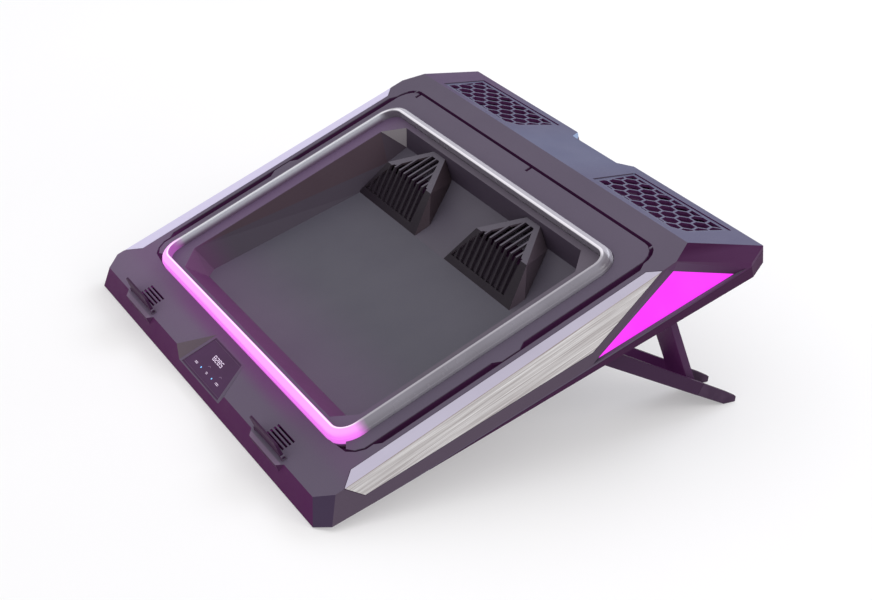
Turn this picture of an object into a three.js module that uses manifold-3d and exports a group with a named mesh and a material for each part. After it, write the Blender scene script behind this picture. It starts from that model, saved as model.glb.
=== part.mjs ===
// Laptop cooling pad: a wedge-shaped stand with a sealed air well, two blowers that feed it through
// louvred outlets, a lit ring and lit side windows, two flip-up stoppers and two folding rear legs.
// Millimetres. Shapes are drawn in the deck frame: X to the user's right, Y rearwards along the
// deck from its front edge, Z out of the deck. The whole is then tilted onto its legs, +Z up.
import * as THREE from 'three';
import { ConvexGeometry } from 'three/addons/geometries/ConvexGeometry.js';
import { mergeVertices } from 'three/addons/utils/BufferGeometryUtils.js';
import Module from 'manifold-3d';

const wasm = await Module();
wasm.setup();

// ---- driving dimensions ----
const RAD = Math.PI / 180;
const GAP = 0.3; // between neighbouring pieces
const WALL = 2.4; // shell and cover thickness
const DECK_TILT = 22.3 * RAD; // deck to table, legs out
const WEDGE = 4.49 * RAD; // deck to base
const HALF_WIDTH = 215; // at the seam between shell and cover
const NOSE = { y: -10.4, z: -15.8 }; // front lower edge
const GROUND_DROP = 0.84; // front lower edge above the table
const BEVEL = { y: 313.9, z: 0, endY: 363.6, endZ: -32 }; // rear slope
const SEAM = { z: -17.6, slope: -0.0446, drop: 1.4 }; // side crease, and the parting plane below it

const RING = { halfWidth: 172.15, front: 34.25, rear: 274.3, band: 7.6, radius: 20 };
// The ring's outer face, from its foot to the crest at its inner edge: inset, height.
const RING_FACE = [[0, -2.2], [0, 1.9], [1.3, 4.6], [2.6, 5.7], [4.8, 6.4], [5.9, 6.8]];
const RING_CREST = { inset: 7, z: 6.8, shoulder: 6.2 };
const WELL = { x: 152, chamferX: 135, front: 45.5, sideFront: 62, sideRear: 245, rear: 261.5 };
const WELL_FLOOR = 4.9; // floor above the base
const RAMP = { foot: 202, top: 256, topZ: -17.7 }; // floor rising towards the rear wall
const PLATE = { x: 184.9, bumpX: 189.6, rear: 295, radius: 16, thickness: 2.3, groove: 2.4 };
const LEDGE = { low: -6, grooveFloor: -4.8 }; // carries the plate
const SLOT_X = 191.4; // outer edge of the side slots

const STOPPER = { x: 124, halfWidth: 22, height: 14.3, thickness: 2.2, y: 2.6, axisZ: 1.9 };
const PANEL = { topX: 27, topY: 27, footX: 38.7, footY: -5.9, footZ: -8, flareX: 46.5 };
const GRILLE = { x: 117, pitch: 13, bar: 1.9, thickness: 2 };
const NOTCH = { rearX: 41, frontX: 32, depth: 8.9 }; // socket bay in the rear edge
const OUTLET_X = [60.5, -86.5]; // louvre centres, right then left
const BLOWER = { x: 73.5, u: 313, radius: 38, height: 16.8, wall: 1.4, inlet: 22 };
const BLADES = 15;

const POCKET = { inner: 159, outer: 198.2, wall: 2, start: 212, ceiling: 10.4, rearCeiling: 9.4 };
const ARM = { u: 226.6, w: 4.3, angle: -47.5 * RAD, halfHeight: 5.8, tipHalf: 4.6, length: 150 };
const TROUGH = { wall: 3, floor: -2.4, notchDepth: 1.4 };
const ARM_X = [160, 197];
const CAP_START = 113; // where the rubber foot takes over
const STRUT = { u: 296.5, w: 5.2, angle: -87.6 * RAD, length: 82.2, half: 2.9, x: [164.5, 192.5] };
const FOOT = { x: 168, halfWidth: 18, start: 7, end: 22 };
const SCREWS = [[181, 70], [-181, 70], [181, 195], [-181, 195]];

// ---- materials ----
const material = (color, roughness, metalness = 0) =>
  new THREE.MeshStandardMaterial({ color, roughness, metalness });
const CHARCOAL = material(0x4c4852, 0.55);
const DARK = material(0x2c2a31, 0.6);
const FLOOR_GREY = material(0x56545f, 0.6);
const BRUSHED = material(0xc8c6ca, 0.32, 0.9);
const RING_GREY = material(0x9a98a4, 0.35);
const LENS = material(0xff48fe, 0.3);
const RUBBER = material(0x2b262c, 0.85);
const STEEL = material(0x9b9ba0, 0.35, 1);
const BOARD = material(0x1f4a33, 0.6);
const MOTOR = material(0x8a8278, 0.5, 0.6);
const GLOSS = material(0x221b26, 0.15);

// ---- solids ----
const v = (x, y, z) => new THREE.Vector3(x, y, z);

function toSolid(geometry) {
  const bare = geometry.clone();
  bare.deleteAttribute('normal');
  bare.deleteAttribute('uv');
  const merged = mergeVertices(bare, 1e-4);
  const mesh = new wasm.Mesh({
    numProp: 3,
    vertProperties: new Float32Array(merged.attributes.position.array),
    triVerts: new Uint32Array(merged.index.array),
  });
  return new wasm.Manifold(mesh);
}

function toGeometry(solid) {
  const mesh = solid.getMesh();
  const indexed = new THREE.BufferGeometry();
  indexed.setAttribute('position', new THREE.BufferAttribute(mesh.vertProperties, 3));
  indexed.setIndex(new THREE.BufferAttribute(mesh.triVerts, 1));
  const flat = indexed.toNonIndexed();
  flat.computeVertexNormals();
  return flat;
}

const hull = (points) => toSolid(new ConvexGeometry(points));
const joined = (solids) => solids.reduce((sum, solid) => sum.add(solid));
const without = (solid, cutters) => cutters.reduce((rest, cutter) => rest.subtract(cutter), solid);

function box(x0, x1, y0, y1, z0, z1) {
  const geometry = new THREE.BoxGeometry(Math.abs(x1 - x0), y1 - y0, z1 - z0);
  return toSolid(geometry.translate((x0 + x1) / 2, (y0 + y1) / 2, (z0 + z1) / 2));
}

function extruded(shape, depth) {
  return new THREE.ExtrudeGeometry(shape, { depth, bevelEnabled: false, curveSegments: 6 });
}

const outline = (pairs) => new THREE.Shape(pairs.map(([a, b]) => new THREE.Vector2(a, b)));
const prismZ = (shape, z0, z1) => toSolid(extruded(shape, z1 - z0).translate(0, 0, z0));

// A profile in (y, z), swept from x0 to x1.
function prismX(pairs, x0, x1) {
  const low = Math.min(x0, x1);
  const geometry = extruded(outline(pairs), Math.abs(x1 - x0)).translate(0, 0, low);
  return toSolid(geometry.applyMatrix4(new THREE.Matrix4().makeBasis(v(0, 1, 0), v(0, 0, 1), v(1, 0, 0))));
}

function rod(radius, length, axis, centre, segments = 24) {
  const geometry = new THREE.CylinderGeometry(radius, radius, length, segments);
  if (axis === 'x') geometry.rotateZ(Math.PI / 2);
  if (axis === 'z') geometry.rotateX(Math.PI / 2);
  return toSolid(geometry.translate(...centre));
}

// Everything on the inner side of a plane whose normal points out, moved in by inset.
function halfSpace(plane, inset = 0) {
  const size = 1200;
  const geometry = new THREE.BoxGeometry(size, size, size).translate(0, 0, -size / 2 - inset);
  const turn = new THREE.Quaternion().setFromUnitVectors(v(0, 0, 1), plane.normal);
  geometry.applyQuaternion(turn);
  const origin = plane.coplanarPoint(new THREE.Vector3());
  return toSolid(geometry.translate(origin.x, origin.y, origin.z));
}

// Plane through three points, its normal pointing away from a point on the kept side.
function planeAway(kept, a, b, c) {
  const plane = new THREE.Plane().setFromCoplanarPoints(a, b, c);
  return plane.distanceToPoint(kept) > 0 ? plane.negate() : plane;
}

function roundedRect(x0, x1, y0, y1, radius) {
  const shape = new THREE.Shape();
  shape.moveTo(x0 + radius, y0);
  shape.lineTo(x1 - radius, y0);
  shape.absarc(x1 - radius, y0 + radius, radius, -Math.PI / 2, 0);
  shape.lineTo(x1, y1 - radius);
  shape.absarc(x1 - radius, y1 - radius, radius, 0, Math.PI / 2);
  shape.lineTo(x0 + radius, y1);
  shape.absarc(x0 + radius, y1 - radius, radius, Math.PI / 2, Math.PI);
  shape.lineTo(x0, y0 + radius);
  shape.absarc(x0 + radius, y0 + radius, radius, Math.PI, Math.PI * 1.5);
  return shape;
}

// ---- body surfaces ----
const baseZ = (y) => NOSE.z - (y - NOSE.y) * Math.tan(WEDGE);
const seamZ = (y) => SEAM.z + SEAM.slope * y;
const partingZ = (y) => seamZ(y) - SEAM.drop;
const sideX = (y, z) => 209.2 - 0.01345 * y - 0.322 * z; // sloping side above the seam
const CORE = v(0, 150, -10); // a point well inside the body

const basePlane = planeAway(CORE, v(0, 0, baseZ(0)), v(1, 0, baseZ(0)), v(0, 300, baseZ(300)));
const seamPlane = planeAway(CORE, v(0, 0, partingZ(0)), v(1, 0, partingZ(0)), v(0, 300, partingZ(300)));
const spread = (x, y, z) => [v(x, y, z), v(-x, y, z)];

function sidePlanes(side) {
  const at = (x, y, z) => v(side * x, y, z);
  const upper = [at(sideX(20, 0), 20, 0), at(sideX(280, 0), 280, 0), at(sideX(160, -24), 160, -24)];
  const lower = [at(HALF_WIDTH, 2, seamZ(2)), at(HALF_WIDTH, 343, seamZ(343)), at(213.4, 343, baseZ(343))];
  const frontCorner = [at(197.6, 0, 0), at(209.2, 12.4, 0), at(204.1, NOSE.y, -15.4)];
  const rearFacet = [at(205.4, 296.4, 0), at(194.9, BEVEL.y, 0), at(205.1, BEVEL.endY, BEVEL.endZ)];
  const rearCorner = [at(205.1, BEVEL.endY, -32), at(205, 359.6, -45), at(214.8, 345.5, -33)];
  return [upper, lower, frontCorner, rearFacet, rearCorner];
}

const shellPlanes = [
  [v(0, 0, 0), v(1, 0, 0), v(0, 1, 0)],
  [v(0, 0, 0), v(1, 0, 0), v(0, NOSE.y, NOSE.z)],
  [v(0, BEVEL.y, BEVEL.z), v(1, BEVEL.y, BEVEL.z), v(0, BEVEL.endY, BEVEL.endZ)],
  [v(0, BEVEL.endY, BEVEL.endZ), v(1, BEVEL.endY, BEVEL.endZ), v(0, 359.5, -45)],
  ...sidePlanes(1),
  ...sidePlanes(-1),
].map((points) => planeAway(CORE, ...points));

// The body's outer form with every face moved in by inset, and its base by baseInset.
function bodyForm(inset, baseInset) {
  const block = box(-240, 240, -30, 400, -80, 10);
  const cut = shellPlanes.reduce((solid, plane) => solid.intersect(halfSpace(plane, inset)), block);
  return cut.intersect(halfSpace(basePlane, baseInset));
}

// A point given along the base (u) and above it (w), as deck coordinates.
function fromBase(u, w) {
  const y = NOSE.y + u * Math.cos(WEDGE) + w * Math.sin(WEDGE);
  const z = NOSE.z - u * Math.sin(WEDGE) + w * Math.cos(WEDGE);
  return [y, z];
}
const basePrism = (pairs, x0, x1) => prismX(pairs.map(([u, w]) => fromBase(u, w)), x0, x1);

// ---- air well, ring and plate ----
function wellForm(grow, top) {
  const floorZ = (y) => baseZ(y) + WELL_FLOOR - grow;
  const points = [];
  for (const z of [0, top]) {
    points.push(...spread(WELL.chamferX, WELL.front - grow, z));
    points.push(...spread(WELL.x + grow, WELL.sideFront, z));
    points.push(...spread(WELL.x + grow, WELL.sideRear, z));
    points.push(...spread(WELL.chamferX, WELL.rear + grow, z));
  }
  points.push(...spread(129.7, 58.6 - grow, floorZ(58.6)));
  points.push(...spread(135.6 + grow, 66, floorZ(66)));
  points.push(...spread(133.5 + grow, RAMP.foot, floorZ(RAMP.foot)));
  points.push(...spread(140 + grow, 236, -21.5 - grow));
  points.push(...spread(138, RAMP.top + grow, RAMP.topZ - grow));
  return hull(points);
}

function ringOutline(grow) {
  const half = RING.halfWidth + grow;
  return roundedRect(-half, half, RING.front - grow, RING.rear + grow, RING.radius + grow);
}

const PLATE_END = [[140, 56.3], [175, 38.3]]; // slanting front end of the plate's side strips
const RECESS_END = [[150, 34.6], [159, 34.6], [177, 36.7]]; // the recess it stands in

// Outer edge of the inner plate from one front end to the other, grown by gap,
// out to slotX along the sides.
function plateOutline(end, gap, slotX, bumpX) {
  const half = [
    ...end, [181 + gap, 41.6],
    [PLATE.x + gap, 48], [PLATE.x + gap, 54], [slotX, 59], [slotX, 152],
    [bumpX, 158], [bumpX, 173], [slotX, 179],
    [slotX, 275], [PLATE.x + gap, 281],
  ];
  const radius = PLATE.radius;
  for (const angle of [15, 35, 55, 75, 90]) {
    const x = PLATE.x + gap - radius + radius * Math.cos(angle * RAD);
    half.push([x, PLATE.rear + gap - radius + radius * Math.sin(angle * RAD)]);
  }
  const mirrored = half.map(([x, y]) => [-x, y]).reverse();
  return outline([...half, ...mirrored]);
}

const wellVoid = wellForm(0, 8);

// The ring's outline moved in by each layer's inset, at each layer's height.
function ringStack(layers) {
  const points = layers.flatMap(([inset, z]) => ringOutline(-inset).extractPoints(4).shape
    .map((p) => v(p.x, p.y, z)));
  return hull(points);
}

function lightRing() {
  const { inset, z, shoulder } = RING_CREST;
  const inside = ringStack([[RING.band, -3], [RING.band, shoulder], [inset, z], [inset, z + 1]]);
  return ringStack(RING_FACE).subtract(inside);
}

function ringLeds() {
  const strip = box(-150, 150, RING.front + 1.6, RING.front + 7, -5.9, -4.9);
  const diodes = [];
  for (let x = -140; x <= 140; x += 20) {
    diodes.push(box(x - 1.6, x + 1.6, RING.front + 2.8, RING.front + 5.8, -5.2, -4.9 + 0.2));
  }
  return joined([strip, ...diodes]);
}

function topPlate() {
  const plate = prismZ(plateOutline(PLATE_END, 0, PLATE.x, PLATE.bumpX), -PLATE.thickness, 0);
  const ticks = [12.4, -169].map((x) => box(x - 1.6, x + 1.6, PLATE.rear - 5, PLATE.rear + 1, -3, 1));
  return without(plate, [prismZ(ringOutline(0.4), -4, 4), ...ticks]);
}

// ---- louvred outlets ----
const FACE = { foot: 200.8, ridge: 228.6, top: -4 };
function outletForm(x0, inset, bottomDrop) {
  const footZ = baseZ(FACE.foot) + WELL_FLOOR - 1.5 - bottomDrop;
  const at = (x, y, z) => v(x0 + x - Math.sign(x) * inset, y, z);
  return hull([
    at(-25.5, FACE.ridge + inset * 0.5, FACE.top - inset),
    at(48.3, FACE.ridge + inset * 0.5, FACE.top - inset),
    at(17.6, 260.4 - inset, FACE.top - inset), at(-1.4, 260.4 - inset, FACE.top - inset),
    at(-50.5, FACE.foot + inset * 1.4, footZ), at(50.5, FACE.foot + inset * 1.4, footZ),
    at(-50.5, 207, footZ), at(54, 214, footZ + 1),
    at(-30, 255.5 - inset, -19.5 - bottomDrop), at(27, 255.5 - inset, -19.5 - bottomDrop),
  ]);
}

function outletLouvre(x0) {
  const slope = (FACE.top - baseZ(FACE.foot) - WELL_FLOOR) / (FACE.ridge - FACE.foot);
  const onFace = (x, y, lift) => v(x0 + x, y - lift * 0.65,
    FACE.top - (FACE.ridge - y) * slope + lift * 0.76);
  const front = [];
  const top = [];
  for (const lift of [-2.4, 4]) {
    front.push(onFace(-43, 206.5, lift), onFace(37.5, 206.5, lift));
    front.push(onFace(-17, FACE.ridge + 1, lift), onFace(40, FACE.ridge + 1, lift));
  }
  for (const z of [FACE.top - 2.2, FACE.top + 2]) {
    top.push(v(x0 - 17, FACE.ridge - 1, z), v(x0 + 40, FACE.ridge - 1, z));
    top.push(v(x0 + 15, 256, z), v(x0 + 2, 256, z));
  }
  const gaps = [];
  for (let x = -43; x < 42; x += 7.7) gaps.push(box(x0 + x, x0 + x + 5.8, 190, 265, -40, 5));
  const window = hull(front).add(hull(top));
  return without(outletForm(x0, 0, 0), [outletForm(x0, 1.7, 6), window.intersect(joined(gaps))]);
}

function wellTray() {
  const lip = prismZ(ringOutline(-RING.band - GAP), -4, 0);
  const flange = prismZ(ringOutline(0.9), -4.6, -2.6);
  const bowl = wellForm(2, 0).intersect(box(-200, 200, 0, 300, -60, -2.6));
  const holes = OUTLET_X.map((x0) => outletForm(x0, -GAP, GAP));
  return without(joined([lip, flange, bowl]), [wellVoid, ...holes]);
}

// ---- side trims, lit windows ----
function trimForm(side, grow, proud) {
  const points = [
    v(196 - grow, 31.2 - grow, 0), v(sideX(19.2, 0), 19.2 - 2 * grow, 0),
    v(sideX(29, -11.5 - grow), 29 - grow, -11.5 - grow), v(sideX(213, -19.5), 213 + grow, -19.5 - grow),
    v(sideX(284.5, 0), 284.5 + 2 * grow, 0), v(196.4 - grow, 276.5 + grow, 0),
  ];
  const inner = [
    v(197 - grow, 33, -2.4 - grow), v(197 - grow, 275, -2.4 - grow),
    v(209 - grow, 32, -11 - grow), v(209 - grow, 212, -18.6 - grow),
  ];
  const outer = proud ? points.map((p) => p.clone().add(v(5, 0, 4))) : [];
  return hull([...points, ...inner, ...outer].map((p) => p.setX(side * p.x)));
}

const LENS_CORNERS = [[292.5, -6.6], [331.4, seamZ(331.4)], [215.3, seamZ(215.3) + 0.4]];
const RECESS_CORNERS = [[287.5, -1], [297, -1], [341.5, seamZ(341.5) + 0.4], [208.5, seamZ(208.5) + 0.4]];
const RECESS_BACK = [[291.5, 1.5], [347, partingZ(347) + 0.2], [203, partingZ(203) + 0.2]];

// A triangle with every edge moved out by amount.
function grown(corners, amount) {
  const edge = (i) => {
    const [from, to] = [corners[(i + 1) % 3], corners[(i + 2) % 3]];
    return Math.hypot(to[0] - from[0], to[1] - from[1]);
  };
  const lengths = [edge(0), edge(1), edge(2)];
  const around = lengths[0] + lengths[1] + lengths[2];
  const centre = [0, 1].map((k) => corners.reduce((sum, c, i) => sum + c[k] * lengths[i], 0) / around);
  const half = around / 2;
  const radius = Math.sqrt((half - lengths[0]) * (half - lengths[1]) * (half - lengths[2]) / half);
  const scale = 1 + amount / radius;
  return corners.map((corner) => corner.map((value, k) => centre[k] + (value - centre[k]) * scale));
}

// A slab that follows the sloping side, between two depths below it.
function sideSlab(side, corners, depth0, depth1) {
  const points = corners.flatMap(([y, z]) => [depth0, depth1]
    .map((d) => v(side * (sideX(y, z) - d), y, z)));
  return hull(points);
}

function windowCut(side) {
  const mouth = RECESS_CORNERS.map(([y, z]) => v(side * (sideX(y, z) + 4), y, z));
  const surface = RECESS_CORNERS.map(([y, z]) => v(side * sideX(y, z), y, z));
  const floor = LENS_CORNERS.map(([y, z]) => v(side * (sideX(y, z) - 3), y, z));
  const seat = sideSlab(side, grown(LENS_CORNERS, GAP), 2.9, 5.4);
  const light = sideSlab(side, grown(LENS_CORNERS, -1.6), 5, 12);
  return joined([hull([...mouth, ...surface]), hull([...surface, ...floor]), seat, light]);
}

// ---- control panel ----
const panelCorners = [
  v(-PANEL.topX, PANEL.topY, 0), v(PANEL.topX, PANEL.topY, 0),
  v(PANEL.footX, PANEL.footY, PANEL.footZ), v(-PANEL.footX, PANEL.footY, PANEL.footZ),
];
const panelCentre = panelCorners.reduce((sum, p) => sum.add(p), v(0, 0, 0)).divideScalar(4);
const panelNormal = new THREE.Plane().setFromCoplanarPoints(...panelCorners.slice(0, 3)).normal;
if (panelNormal.z < 0) panelNormal.negate();

function panelSlab(scale, low, high) {
  const points = panelCorners.flatMap((corner) => [low, high].map((height) => {
    const spot = corner.clone().sub(panelCentre).multiplyScalar(scale).add(panelCentre);
    return spot.addScaledVector(panelNormal, height);
  }));
  return hull(points);
}

// The air over the sloping panel and the cheeks beside it, lowered by drop.
function panelCut(drop) {
  const lowered = (x, y, z) => v(x, y, z - drop);
  const air = lowered(0, 5, 8);
  const slope = planeAway(air, ...panelCorners.slice(0, 3).map(({ x, y, z }) => lowered(x, y, z)));
  const cheeks = [1, -1].map((side) => planeAway(air, lowered(side * PANEL.flareX, 0, 0),
    lowered(side * PANEL.topX, PANEL.topY, 0), lowered(side * PANEL.footX, PANEL.footY, PANEL.footZ)));
  const block = box(-70, 70, -30, PANEL.topY + 2, -25, 12);
  return [slope, ...cheeks].reduce((solid, plane) => solid.intersect(halfSpace(plane)), block);
}

// ---- rear: bevel grilles and socket bay ----
const bevelAngle = Math.atan2(BEVEL.endZ - BEVEL.z, BEVEL.endY - BEVEL.y);
const grilleCorners = [[-48, 8], [46, 8.3], [55, 16], [55, 49.5], [-58.5, 46.5]];

// A shape drawn on the rear slope (x, distance down it), between two depths below it.
function bevelPrism(shape, low, high) {
  const geometry = extruded(shape, high - low).translate(0, 0, low);
  return toSolid(geometry.rotateX(bevelAngle).translate(0, BEVEL.y, BEVEL.z));
}

function grilleOutline(x0, grow) {
  const spots = [[-1, -1], [1, -1], [1, -0.4], [1, 1], [-1, 1]];
  return outline(grilleCorners.map(([x, s], i) => [x0 + x + spots[i][0] * grow, s + spots[i][1] * grow]));
}

function hexCells(x0) {
  const { pitch, bar } = GRILLE;
  const reach = (pitch - bar) / Math.sqrt(3);
  const cells = [];
  for (let column = -5; column <= 5; column += 1) {
    for (let row = 0; row <= 5; row += 1) {
      const shift = column % 2 ? pitch / 2 : 0;
      const corners = [0, 1, 2, 3, 4, 5].map((k) => [
        x0 + column * pitch * Math.sqrt(0.75) + reach * Math.cos(k * 60 * RAD),
        row * pitch - 3 + shift + reach * Math.sin(k * 60 * RAD),
      ]);
      cells.push(bevelPrism(outline(corners), -6, 3));
    }
  }
  return joined(cells);
}

function intakeGrille(x0) {
  const holes = hexCells(x0).intersect(bevelPrism(grilleOutline(x0, 0), -6, 3));
  return bevelPrism(grilleOutline(x0, 3.2), -0.8 - GRILLE.thickness, -0.8).subtract(holes);
}

function notchForm(grow) {
  const rearY = BEVEL.endY + 6;
  const frontY = BEVEL.endY - NOTCH.depth - grow;
  const shape = outline([
    [-NOTCH.frontX - grow, frontY], [NOTCH.frontX + grow, frontY],
    [NOTCH.rearX + 6 + grow, rearY], [-NOTCH.rearX - 6 - grow, rearY],
  ]);
  return prismZ(shape, -70, 10);
}

// ---- sockets ----
const SOCKETS = [
  { name: 'usb_port_right', x: 19, width: 13.2, height: 5.8, mouth: [11.6, 4.2] },
  { name: 'usb_port_middle', x: 2.5, width: 13.2, height: 5.8, mouth: [11.6, 4.2] },
  { name: 'dc_jack', x: -15, width: 10, height: 8, mouth: null },
];
const SOCKET_BASE = 5; // above the base
const SOCKET_U = [349, 366.2];

function socketHoles() {
  return SOCKETS.map(({ x, width, height }) => basePrism([
    [345, SOCKET_BASE - GAP], [375, SOCKET_BASE - GAP],
    [375, SOCKET_BASE + height + GAP], [345, SOCKET_BASE + height + GAP],
  ], x - width / 2 - GAP, x + width / 2 + GAP));
}

function socketBody({ x, width, height, mouth }) {
  const [start, end] = SOCKET_U;
  const top = SOCKET_BASE + height;
  const body = basePrism([[start, SOCKET_BASE], [end, SOCKET_BASE], [end, top], [start, top]],
    x - width / 2, x + width / 2);
  const middle = SOCKET_BASE + height / 2;
  if (!mouth) {
    const [y, z] = fromBase(end, middle);
    const turned = new THREE.CylinderGeometry(3, 3, 20, 20).rotateX(-WEDGE).translate(x, y, z);
    const pin = new THREE.CylinderGeometry(0.9, 0.9, 12, 10).rotateX(-WEDGE).translate(x, y - 6.5, z + 0.5);
    return body.subtract(toSolid(turned)).add(toSolid(pin));
  }
  const cavity = basePrism([[end - 12, middle - mouth[1] / 2], [end + 1, middle - mouth[1] / 2],
    [end + 1, middle + mouth[1] / 2], [end - 12, middle + mouth[1] / 2]],
  x - mouth[0] / 2, x + mouth[0] / 2);
  const tongue = basePrism([[end - 13, middle + 0.2], [end - 1.5, middle + 0.2],
    [end - 1.5, middle + 1.6], [end - 13, middle + 1.6]], x - 5, x + 5);
  return body.subtract(cavity).add(tongue);
}

// ---- shell, cover ----
const pocketProfile = (grow) => [
  [POCKET.start - grow, grow ? 0 : -8], [POCKET.start - grow, POCKET.ceiling + grow],
  [338, POCKET.ceiling + grow], [350, POCKET.rearCeiling + grow], [385, POCKET.rearCeiling + grow],
  [385, grow ? 0 : -8],
];
const pocketBlock = (side, extra) => basePrism(pocketProfile(POCKET.wall + extra),
  side * (POCKET.inner - POCKET.wall - extra), side * (POCKET.outer + POCKET.wall + extra));
const pocketVoid = (side) => basePrism(pocketProfile(0), side * POCKET.inner, side * POCKET.outer);
const bothSides = (make) => [make(1), make(-1)];

const cavity = without(bodyForm(WALL, WALL), [
  ...bothSides((side) => trimForm(side, 2, false)),
  ...bothSides((side) => sideSlab(side, RECESS_BACK, 0, 6.6)),
  panelCut(WALL), panelSlab(1.2, -4.6, 3), notchForm(WALL),
]);

function stopperMount(x0) {
  const lip = hull([
    v(x0 - 27.7, 0, 0), v(x0 + 27.7, 0, 0), v(x0 - 22.3, -4.6, -0.5), v(x0 + 22.3, -4.6, -0.5),
    v(x0 - 22.3, -4.6, -6.6), v(x0 + 22.3, -4.6, -6.6), v(x0 - 27.7, 0, -2), v(x0 + 27.7, 0, -2),
    v(x0 - 24, 3, -2), v(x0 + 24, 3, -2), v(x0 - 24, 3, -6), v(x0 + 24, 3, -6),
  ]);
  const half = STOPPER.halfWidth + GAP;
  const lugs = [-half - 1.8, half].map((x) => prismX(
    [[0.4, -1], [4.8, -1], [4.2, 3.4], [1, 3.4]], x0 + x, x0 + x + 1.8));
  return joined([lip, ...lugs]);
}

function gripSlots(x0) {
  const slots = [6.4, 9.4, 12.4, 15.4].map((y) => box(x0 - 14, x0 + 13.5, y - 0.8, y + 0.8, -8, 2));
  return joined(slots);
}

function screwPosts() {
  return joined(SCREWS.map(([x, y]) => box(x - 4, x + 4, y - 4, y + 4, baseZ(y) + 3.6, -1)));
}
const screwBores = (radius) => joined(SCREWS
  .map(([x, y]) => rod(radius, 22, 'z', [x, y, baseZ(y) + 6], 12)));

// The plate's seat, and the groove round it: bridged at the rear corners, open below at the sides.
function grooveCut() {
  const outer = prismZ(plateOutline(RECESS_END, PLATE.groove, SLOT_X, SLOT_X), LEDGE.grooveFloor, 1);
  const tabs = bothSides((side) => box(side * 176.5 - 0.8, side * 176.5 + 0.8, 285, 300, -8, 2));
  const core = prismZ(plateOutline(PLATE_END, -GAP, PLATE.x - GAP, PLATE.x - GAP),
    LEDGE.grooveFloor - 1, 2);
  const through = bothSides((side) => [[64, 150], [181, 270]].map(([y0, y1]) => (
    side > 0 ? box(PLATE.x, SLOT_X, y0, y1, -12, 1) : box(-SLOT_X, -PLATE.x, y0, y1, -12, 1))));
  const seat = prismZ(plateOutline(PLATE_END, GAP, PLATE.x + GAP, PLATE.bumpX + GAP),
    -PLATE.thickness - GAP, 12);
  return joined([without(outer, [core, ...tabs]), seat, ...through.flat()]);
}

function upperShell() {
  const outer = bodyForm(0, 0).intersect(halfSpace(seamPlane, GAP / 2));
  const underside = bodyForm(WALL, -5).intersect(halfSpace(basePlane, -5)).subtract(
    halfSpace(basePlane, WALL + GAP));
  const ledge = box(-193, 193, 33, 299, LEDGE.low, -1).intersect(bodyForm(1, 1));
  const pinBores = bothSides((side) => rod(1.15, 52, 'x',
    [side * STOPPER.x, STOPPER.y, STOPPER.axisZ], 16));
  const solid = without(outer, [cavity, underside]);
  const mounts = bothSides((side) => stopperMount(side * STOPPER.x));
  const added = joined([solid, ledge, screwPosts(), ...mounts]);
  return without(added, [
    grooveCut(), prismZ(ringOutline(0.5), -12, 12), prismZ(ringOutline(1.6), -12, -PLATE.thickness),
    panelCut(0), panelSlab(0.9, -1.7, 2), panelSlab(0.6, -8, 2),
    ...bothSides((side) => trimForm(side, GAP, true)),
    ...bothSides(windowCut),
    ...bothSides((side) => gripSlots(side * STOPPER.x)),
    ...bothSides((side) => bevelPrism(grilleOutline(side * GRILLE.x, 3.2 + GAP),
      -0.8 - GRILLE.thickness - GAP, 4)),
    ...bothSides((side) => bevelPrism(grilleOutline(side * GRILLE.x, 1), -8, 1)),
    notchForm(0), ...socketHoles(), ...pinBores,
    ...bothSides((side) => pocketBlock(side, GAP)), screwBores(1.8),
  ]);
}

function bottomCover() {
  const belowSeam = bodyForm(0, 0).subtract(halfSpace(seamPlane, -GAP / 2));
  const rim = belowSeam.subtract(cavity);
  const plate = bodyForm(WALL + GAP, 0).subtract(halfSpace(basePlane, WALL));
  const blocks = bothSides((side) => pocketBlock(side, 0).intersect(bodyForm(0, 0)));
  const lugs = bothSides(strutLugs);
  const heads = SCREWS.map(([x, y]) => rod(3.1, 6, 'z', [x, y, baseZ(y) - 1.4], 12));
  const feet = bothSides((side) => basePrism([[FOOT.start - GAP, -1], [FOOT.end + GAP, -1],
    [FOOT.end + GAP, 1.3], [FOOT.start - GAP, 1.3]],
  side * (FOOT.x - FOOT.halfWidth - GAP), side * (FOOT.x + FOOT.halfWidth + GAP)));
  const armBores = bothSides((side) => {
    const [y, z] = fromBase(ARM.u, ARM.w);
    return rod(2.3, 42.5, 'x', [side * 178.6, y, z]);
  });
  const hollow = without(joined([rim, plate, ...blocks]), bothSides(pocketVoid));
  return without(joined([hollow, ...lugs]), [notchForm(0), ...socketHoles(), ...heads, screwBores(1.8),
    ...feet, ...armBores]);
}

// Two ears hang from each pocket's ceiling and carry the strut.
function strutLugs(side) {
  const [y, z] = fromBase(STRUT.u, STRUT.w);
  const ears = [[163.9, 166.9], [190.1, 193.1]].map(([x0, x1]) => {
    const middle = side * (x0 + x1) / 2;
    const round = rod(2.7, 3, 'x', [middle, y, z]);
    const root = basePrism([[STRUT.u - 4, POCKET.ceiling + 0.5], [STRUT.u - 2.7, STRUT.w],
      [STRUT.u + 2.7, STRUT.w], [STRUT.u + 4, POCKET.ceiling + 0.5]], side * x0, side * x1);
    return round.add(root).subtract(rod(1.8, 5, 'x', [middle, y, z], 16));
  });
  return joined(ears);
}

// ---- rear legs, drawn along the arm (s) and square to it (h) ----
function armProfile(s0, s1) {
  const half = (s) => ARM.halfHeight + (ARM.tipHalf - ARM.halfHeight) * Math.max(0, s) / ARM.length;
  const tip = [[s1 - 9, -half(s1)], [s1, 0], [s1 - 1.6, 4], [s1 - 12, half(s1)]];
  if (s0 > 0) return [[s0, -half(s0)], ...tip, [s0, half(s0)]];
  const nose = [];
  for (let angle = 90; angle <= 270; angle += 30) {
    nose.push([ARM.halfHeight * Math.cos(angle * RAD), ARM.halfHeight * Math.sin(angle * RAD)]);
  }
  return [...nose, [s1, -half(s1)], [s1, half(s1)]];
}

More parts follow.
